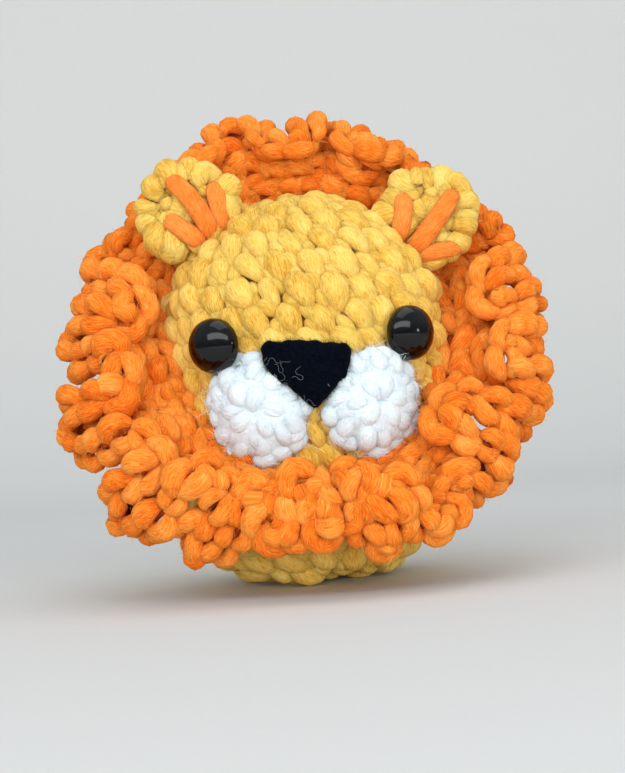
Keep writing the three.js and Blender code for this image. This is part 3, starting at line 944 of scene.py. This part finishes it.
def ring_point(angle):
    """Where the mane's first round lies on the body; the angle is from +X as seen from the front."""
    drop = drop_at(angle)
    z = RING_TOP + (RING_CHIN - RING_TOP) * drop
    radius = body_radius(z)
    y = RING_BACKSET * (1 - drop) ** 2 - radius * drop**1.6
    x = np.sign(np.cos(angle)) * np.sqrt(np.maximum(0, radius**2 - y**2))
    return np.stack([x, y, z], -1)


def around_ring(angle, values):
    """A value that runs smoothly round the mane through values given at equal steps from +X."""
    values = np.array([*values, values[0]], float)
    t = (np.asarray(angle) % TAU) / TAU * (len(values) - 1)
    i = np.clip(t.astype(int), 0, len(values) - 2)
    f = t - i
    f = f * f * (3 - 2 * f)
    return values[i] * (1 - f) + values[i + 1] * f


# How far the frill tilts forward and how much its ruffles swing, given every 45 degrees: right,
# upper right, top, upper left, left, lower left, bottom, lower right.
MEAN_TILT = np.radians([20, -22, 4, -22, 20, 36, 78, 36])
TILT_SWING = np.radians([60, 22, 40, 22, 60, 52, 24, 50])
# Its width, given every 22.5 degrees, the same way round.
FRILL_LENGTH = [17.3, 16.0, 15.2, 15.0, 15.6, 15.8, 13.8, 14.2,
                17.4, 22.0, 22.5, 16.0, 15.0, 18.0, 18.0, 18.4]
# The directions in which the ruffled sheet folds forward, in degrees, the same way round.
FORWARD_FOLDS = [10, 30, 48, 68, 90, 120, 147, 166, 188, 210, 230, 247, 262, 277, 292, 308, 328, 350]


def ruffle_phase(angle):
    """The ruffles' phase round the mane: a quarter turn at each forward fold."""
    count = len(FORWARD_FOLDS)
    folds = [FORWARD_FOLDS[-1] - 360, *FORWARD_FOLDS, FORWARD_FOLDS[0] + 360]
    turns = np.interp(np.degrees(np.asarray(angle) % TAU), folds, np.arange(-1, count + 1))
    return TAU * (turns + 0.25)


def frill_point(angle, share):
    """The ruffled sheet: share runs from 0 on the body to 1 at its free edge."""
    angle, share = np.broadcast_arrays(np.asarray(angle, float), np.asarray(share, float))
    radial = np.stack([np.cos(angle), 0 * angle, np.sin(angle)], -1)
    forward = np.array([0.0, -1.0, 0.0])
    phase = ruffle_phase(angle)
    wave = np.sin(phase) + 0.4 * np.cos(phase) ** 2
    swing = around_ring(angle, TILT_SWING) * (1 + 0.3 * wobble(angle, 6, (4, 7, 9, 11))) * wave
    uneven = 1 - 0.13 * wave + 0.04 * wobble(angle, 7, (5, 8, 13))
    length = around_ring(angle, FRILL_LENGTH) * uneven
    mean = around_ring(angle, MEAN_TILT)
    point = ring_point(angle)
    steps = 10
    for k in range(steps):
        part = share * (k + 0.5) / steps
        tilt = mean + swing * (0.05 + 1.3 * part)
        direction = np.cos(tilt)[..., None] * radial + np.sin(tilt)[..., None] * forward
        point = point + direction * (length * share / steps)[..., None]
    tangent = np.stack([-np.sin(angle), 0 * angle, np.cos(angle)], -1)
    meander = -2.2 * np.sin(2 * phase) * share**2
    return point + tangent * meander[..., None]


def frill_frame(angle, share):
    """Point, sheet normal (towards the front where it can) and outward direction on the frill."""
    step = 0.004
    point = frill_point(angle, share)
    along = unit(frill_point(angle + step, share) - frill_point(angle - step, share))
    out = unit(frill_point(angle, share + 0.02) - frill_point(angle, share - 0.02))
    return point, unit(np.cross(along, out)), out


def frill_stations(share):
    """Points and frames round the frill at a share of its width, with the distance run."""
    angle = np.linspace(0, TAU, 1800)
    point, normal, out = frill_frame(angle, np.full_like(angle, share))
    return run_along(point), point, normal, out


# One leg of a V stitch, drawn as (along the round, across it, out of it, radius).
V_LEG = [(-3.2, -0.2, -1.3, 0.8), (-2.1, 1.0, 0.1, 1.6), (-0.4, 2.1, 0.8, 1.95),
         (1.4, 2.0, 0.4, 1.7), (2.8, 0.8, -1.1, 0.8)]
V_PITCH = 5.0
FREE_EDGE = 0
EDGE_SHARE = 0.92  # where the free edge's plait lies, as a share of the frill's width


def plait(strands, share, facing, size=1.0):
    """A chain of V stitches round the frill: on its front (facing 1), its back (-1) or its free edge."""
    run, point, normal, out = frill_stations(share)
    across, lift = (normal, out) if facing == FREE_EDGE else (out, facing * normal)
    count = round(run[-1] / (V_PITCH * size))
    pitch = run[-1] / count
    rng = strands.rng
    for k in range(count):
        grow = size * (1 + 0.1 * rng.normal())
        lean = 0.25 * rng.normal()
        rise = 0.35 * rng.normal()
        for side in (-1, 1):
            p = np.array(V_LEG) * grow
            p[:, :3] += rng.normal(size=3) * (0.35, 0.25, 0.25)
            p[:, 3] *= 1 + 0.07 * rng.normal()
            p[:, 0] += lean * side * p[:, 1]
            at = (k * pitch + p[:, 0]) % run[-1]
            sideways, up = unit(read_at(at, run, across)), unit(read_at(at, run, lift))
            path = read_at(at, run, point) + sideways * (side * p[:, 1])[:, None]
            path = path + up * (p[:, 2] + rise)[:, None]
            strands.add(path, up + side * 0.5 * sideways, p[:, 3], steps=13, sides=10, flat=0.92)


def frill_sheet():
    """The thin fabric inside the frill, which closes the holes between its strands."""
    around, across = 720, 7
    half_thickness = 0.35
    angle = np.arange(around) * TAU / around
    angle, share = np.meshgrid(angle, np.linspace(-0.05, EDGE_SHARE, across))
    point, normal, _ = frill_frame(angle, share)
    front = point + half_thickness * normal
    back = (point - half_thickness * normal)[::-1]
    vertices = np.concatenate([front, back])
    index = np.arange(2 * across * around).reshape(2 * across, around)
    below = np.roll(index, -1, axis=0)
    right, corner = np.roll(index, -1, axis=1), np.roll(below, -1, axis=1)
    quads = np.stack([index, right, corner, below], -1).reshape(-1, 4)
    return build_mesh("mane_inside_painted_shade", vertices.reshape(-1, 3), quads.ravel(), np.full(len(quads), 4))


# The share of the frill's width at the middle of each round, and the size of its stitches.
FRILL_ROUNDS = [(0.06, 0.95), (0.35, 0.9), (0.64, 0.9)]


def make_mane():
    nodes = ["mane_band", "mane_frill"]
    for number, (share, size) in enumerate(FRILL_ROUNDS):
        rows = Strands(seed=300 + number)
        for facing in (1, -1):
            plait(rows, share, facing, size)
        names = (f"mane_round_{number + 1}", f"mane_fuzz_{number + 1}")
        replaced = nodes if number == 0 else ()
        finish_yarn(rows, names, ORANGE_YARN, "body", (0.07, 0.9), replaced)
    edge = Strands(seed=310)
    plait(edge, EDGE_SHARE, FREE_EDGE)
    finish_yarn(edge, ("mane_edge", "mane_fuzz_edge"), ORANGE_YARN, "body", (0.35, 0.9))
    # The frill's inner sheet is dark orange, painted shade seen through the gaps between its strands.
    finish_piece(frill_sheet(), ORANGE_PAINTED_SHADE, "body")


# ---- parts kept as they are


def finish_cad_nodes():
    """The stuffing and the eyes' washers keep their shape and get their own materials."""
    for node in ("stuffing", "eye_washer_left", "eye_washer_right"):
        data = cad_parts[node].data
        data.materials.clear()
        data.materials.append(FIBREFILL if node == "stuffing" else WASHER_PLASTIC)


# ---- studio


def add_area(name, location, target, size, power, colour=(1, 1, 1)):
    """A rectangular lamp, with its width and height in metres and its power in watts."""
    light = bpy.data.lights.new(name, "AREA")
    light.shape = "RECTANGLE"
    light.size, light.size_y = size
    light.energy = power
    light.color = colour
    lamp = bpy.data.objects.new(name, light)
    lamp.location = location
    lamp.rotation_euler = (Vector(target) - Vector(location)).to_track_quat("-Z", "Y").to_euler()
    bpy.context.scene.collection.objects.link(lamp)
    return lamp


def make_floor():
    """A pale seamless floor that rises into a backdrop."""
    radius, depth, height, width, steps = 0.25, 0.55, 1.2, 2.4, 16
    profile = [(-1.2, 0.0), (depth - radius, 0.0)]
    for i in range(1, steps + 1):
        a = i / steps * math.pi / 2
        profile.append((depth - radius + radius * math.sin(a), radius - radius * math.cos(a)))
    profile.append((depth, height))
    vertices = [(x, y, z - 0.0002) for y, z in profile for x in (-width, width)]
    faces = [(2 * i, 2 * i + 1, 2 * i + 3, 2 * i + 2) for i in range(len(profile) - 1)]
    data = bpy.data.meshes.new("floor")
    data.from_pydata(vertices, [], faces)
    data.polygons.foreach_set("use_smooth", [True] * len(faces))
    floor = bpy.data.objects.new("floor", data)
    bpy.context.scene.collection.objects.link(floor)
    paper = plain_material("floor_paper", (0.66, 0.66, 0.65), 0.9, grain=700.0, depth=0.01)
    data.materials.append(paper)


def make_world():
    """Soft light from a wide pale sky, dimmer towards the horizon."""
    world = bpy.data.worlds.new("studio")
    world.use_nodes = True
    tree = world.node_tree
    place = tree.nodes.new("ShaderNodeTexCoord")
    split = tree.nodes.new("ShaderNodeSeparateXYZ")
    ramp = tree.nodes.new("ShaderNodeValToRGB")
    tree.links.new(place.outputs["Generated"], split.inputs[0])
    tree.links.new(split.outputs["Z"], ramp.inputs["Fac"])
    ramp.color_ramp.interpolation = "EASE"
    ramp.color_ramp.elements[0].position = 0.02
    ramp.color_ramp.elements[0].color = (0.42, 0.43, 0.44, 1)
    ramp.color_ramp.elements[1].position = 0.5
    ramp.color_ramp.elements[1].color = (0.86, 0.95, 1.0, 1)
    tree.links.new(ramp.outputs["Color"], tree.nodes["Background"].inputs["Color"])
    tree.nodes["Background"].inputs["Strength"].default_value = 0.5
    bpy.context.scene.world = world


CAMERA_TARGET = Vector((0.001, 0.0, 0.0385))
CAMERA_DISTANCE = 0.38
CAMERA_AZIMUTH = math.radians(-3.5)
CAMERA_ROLL = math.radians(4)
CAMERA_LENS = 87.6


def make_camera():
    data = bpy.data.cameras.new("camera")
    data.lens = CAMERA_LENS
    data.sensor_width = 36
    data.clip_start = 0.01
    camera = bpy.data.objects.new("camera", data)
    back = Vector((math.sin(CAMERA_AZIMUTH), -math.cos(CAMERA_AZIMUTH), 0))
    camera.location = CAMERA_TARGET + CAMERA_DISTANCE * back
    level = back.to_track_quat("Z", "Y")
    camera.rotation_mode = "QUATERNION"
    camera.rotation_quaternion = level @ Matrix.Rotation(-CAMERA_ROLL, 3, "Z").to_quaternion()
    bpy.context.scene.collection.objects.link(camera)
    bpy.context.scene.camera = camera


make_camera()
make_floor()
make_world()
add_area("window", (-0.12, -0.72, 0.50), (0, 0, 0.04), (1.5, 0.32), 5.0, (0.95, 0.98, 1.0))
add_area("overhead", (0.05, -0.05, 0.8), (0, 0, 0.05), (0.8, 0.6), 1.7)
low_fill = add_area("low_fill", (0.05, -0.75, 0.08), (0, 0, 0.01), (1.9, 0.16), 5.5, (1, 0.98, 0.92))
low_fill.visible_glossy = False  # it lifts the shade under the mane and makes no bar on the eyes
add_area("glint", (0.75, -0.42, 0.12), (0, 0, 0.045), (0.07, 0.07), 0.22)
bpy.context.scene.view_settings.view_transform = "Standard"

make_body()
for eye_side in (-1, 1):
    make_eye(eye_side)
for ear_number, ear_name in enumerate(EAR_LEAN):
    make_ear(ear_name, seed=200 + ear_number)
for pad_number, pad_name in enumerate(PAD_AZIMUTH):
    make_pad(pad_name, seed=220 + pad_number)
make_nose()
make_mane()
finish_cad_nodes()
